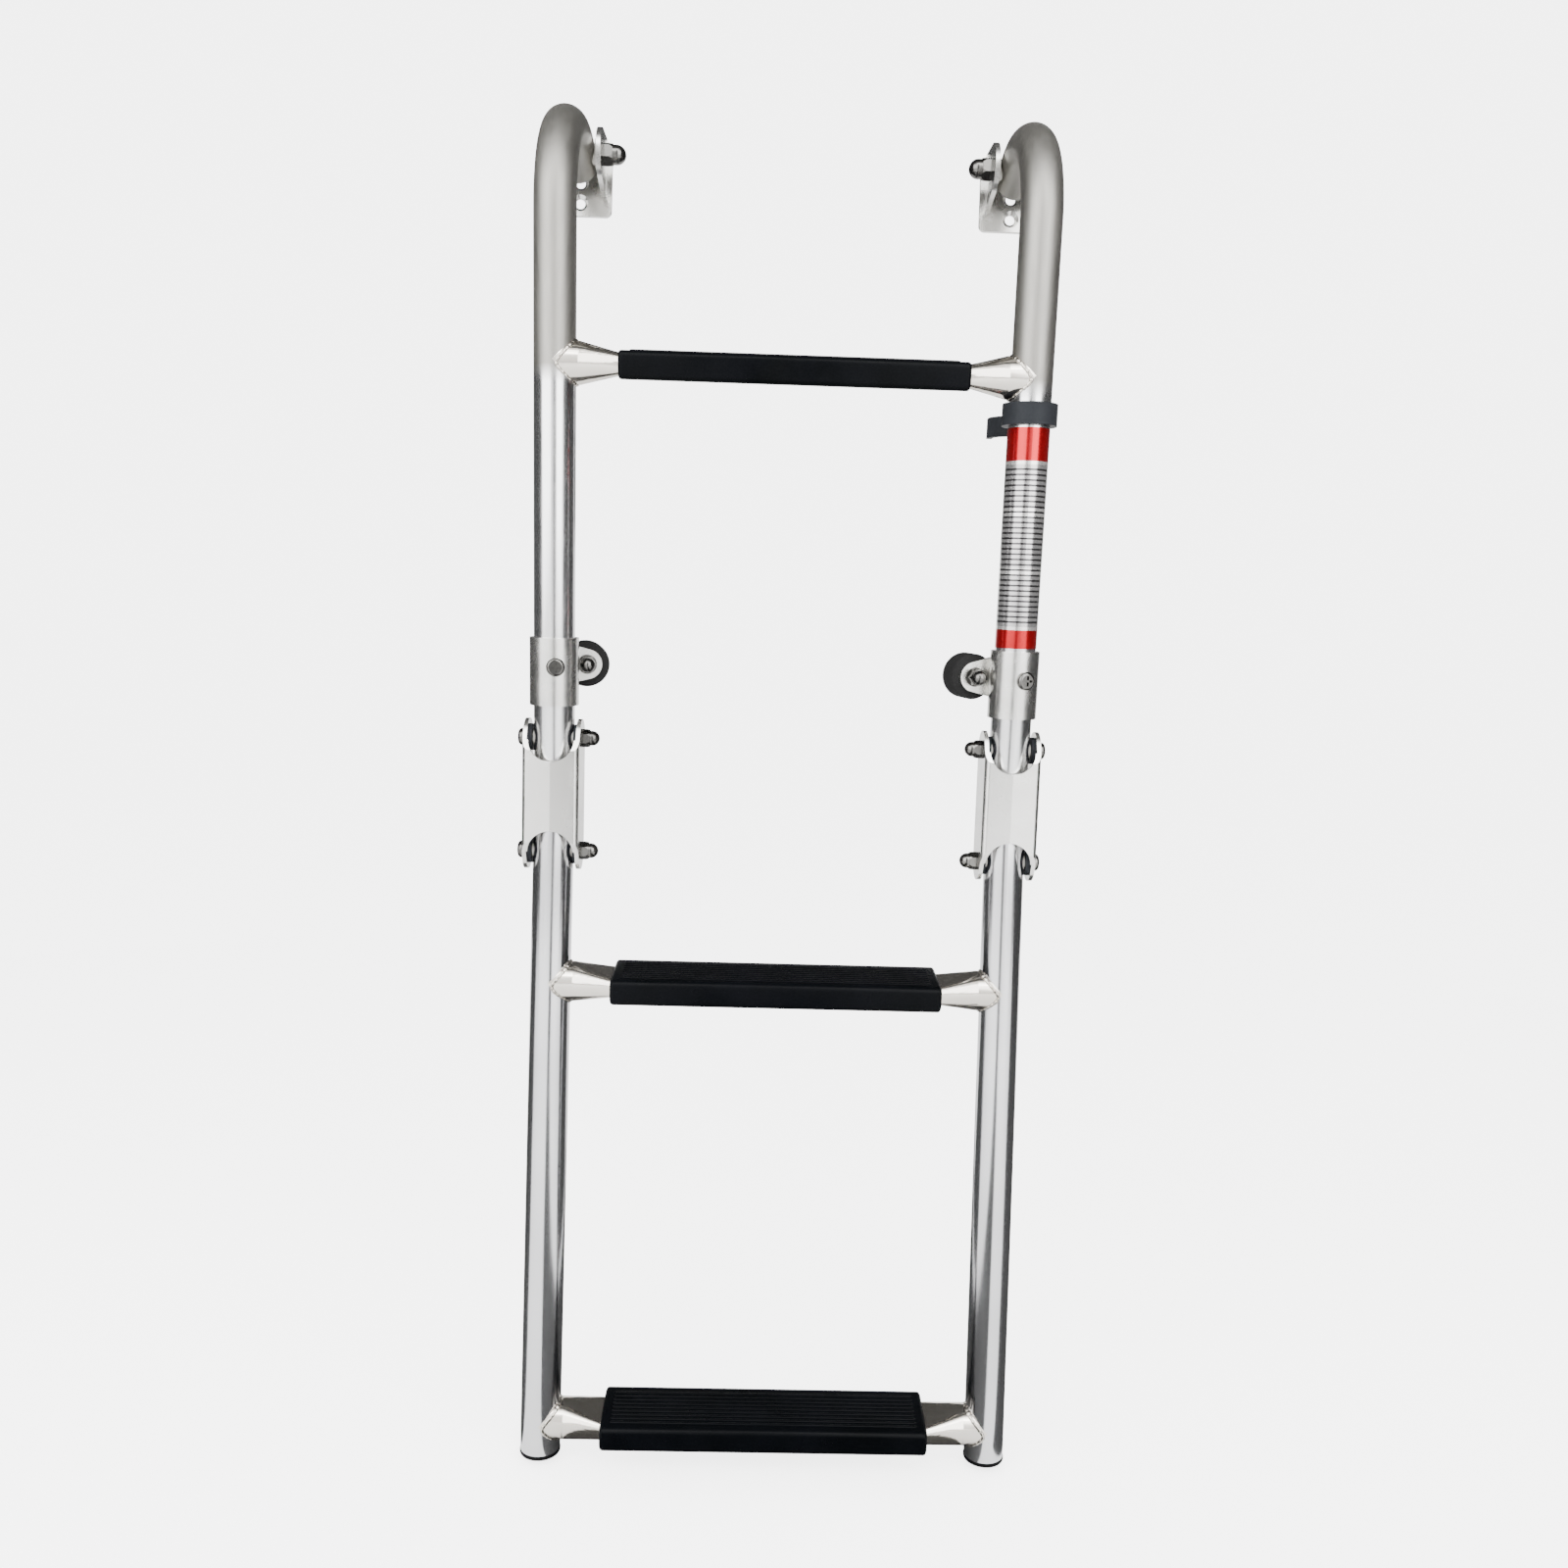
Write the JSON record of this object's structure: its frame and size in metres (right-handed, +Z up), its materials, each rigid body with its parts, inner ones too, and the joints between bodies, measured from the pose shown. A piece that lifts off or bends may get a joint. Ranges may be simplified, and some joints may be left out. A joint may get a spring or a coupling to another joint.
{
  "type": "boat boarding ladder",
  "caption": "Folding stainless boarding ladder: a hooked upper frame on pivoting hull brackets, and a lower frame that folds up in front on channel links.",
  "frame": {"origin": "on the hull surface, midway between the two brackets, level with their pivot bolts", "axes": "+X to the climber's right, +Y into the hull, +Z up"},
  "size_m": [0.3362, 0.1156, 0.8633],
  "materials": {
    "polished_tube": "polished stainless tube",
    "satin_tube": "satin stainless tube",
    "sheet_steel": "formed stainless sheet",
    "fastener_steel": "polished stainless fasteners",
    "tread_plastic": "black ribbed plastic",
    "cap_plastic": "black plastic",
    "plug_plastic": "grey plastic",
    "washer_nylon": "natural nylon",
    "bumper_rubber": "dark grey rubber",
    "clip_nylon": "charcoal nylon",
    "label_film": "printed film, silver with red ends"
  },
  "bodies": {
    "upper_frame": {"left_upper_stile": "satin_tube", "right_upper_stile": "satin_tube", "top_rung_tube": "polished_tube", "top_rung_cover": "tread_plastic", "top_rung_screws": "fastener_steel", "left_tail_plug": "plug_plastic", "right_tail_plug": "plug_plastic", "left_standoff_clamp": "sheet_steel", "right_standoff_clamp": "sheet_steel", "left_bumper": "bumper_rubber", "right_bumper": "bumper_rubber", "clamp_screws": "fastener_steel", "bumper_studs": "fastener_steel", "bumper_nuts": "fastener_steel", "bumper_washers": "fastener_steel", "upper_hinge_bushes": "washer_nylon", "hook_bushes": "washer_nylon", "stile_label": "label_film"},
    "fold_links": {"left_hinge_link": "sheet_steel", "right_hinge_link": "sheet_steel", "hinge_bolts": "fastener_steel", "hinge_nuts": "fastener_steel", "hinge_washers": "fastener_steel", "hinge_thrust_washers": "cap_plastic"},
    "lower_frame": {"left_lower_stile": "polished_tube", "right_lower_stile": "polished_tube", "middle_tread_tube": "polished_tube", "middle_tread_cover": "tread_plastic", "middle_tread_screws": "fastener_steel", "bottom_tread_tube": "polished_tube", "bottom_tread_cover": "tread_plastic", "bottom_tread_screws": "fastener_steel", "left_foot_cap": "cap_plastic", "right_foot_cap": "cap_plastic", "lower_hinge_bushes": "washer_nylon"},
    "retaining_clip": {"retaining_clip": "clip_nylon"},
    "left_bracket": {"left_mount_bracket": "sheet_steel", "left_bracket_bolt": "fastener_steel", "left_bracket_nut": "fastener_steel", "left_bracket_washer": "fastener_steel", "left_bracket_thrust_washers": "washer_nylon"},
    "right_bracket": {"right_mount_bracket": "sheet_steel", "right_bracket_bolt": "fastener_steel", "right_bracket_nut": "fastener_steel", "right_bracket_washer": "fastener_steel", "right_bracket_thrust_washers": "washer_nylon"}
  },
  "joints": [
    {"name": "link_fold", "type": "hinge", "parent": "upper_frame", "child": "fold_links", "pos_m": [0, -0.06164, -0.37955], "axis": [-1, 0, 0], "range_deg": [-2.9, 87.1]},
    {"name": "lower_fold", "type": "hinge", "parent": "fold_links", "child": "lower_frame", "pos_m": [0, -0.05599, -0.45133], "axis": [-1, 0, 0], "range_deg": [-4.5, 85.5]},
    {"name": "left_bracket_pivot", "type": "hinge", "parent": "upper_frame", "child": "left_bracket", "pos_m": [-0.1445, -0.025, 0], "axis": [1, 0, 0], "range_deg": [-100, 60]},
    {"name": "right_bracket_pivot", "type": "hinge", "parent": "upper_frame", "child": "right_bracket", "pos_m": [0.1445, -0.025, 0], "axis": [1, 0, 0], "range_deg": [-100, 60]},
    {"name": "clip_swivel", "type": "hinge", "parent": "upper_frame", "child": "retaining_clip", "pos_m": [0.1445, -0.08821, -0.17497], "axis": [0, 0.1288, -0.9917], "range_deg": [-30, 177]}
  ]
}
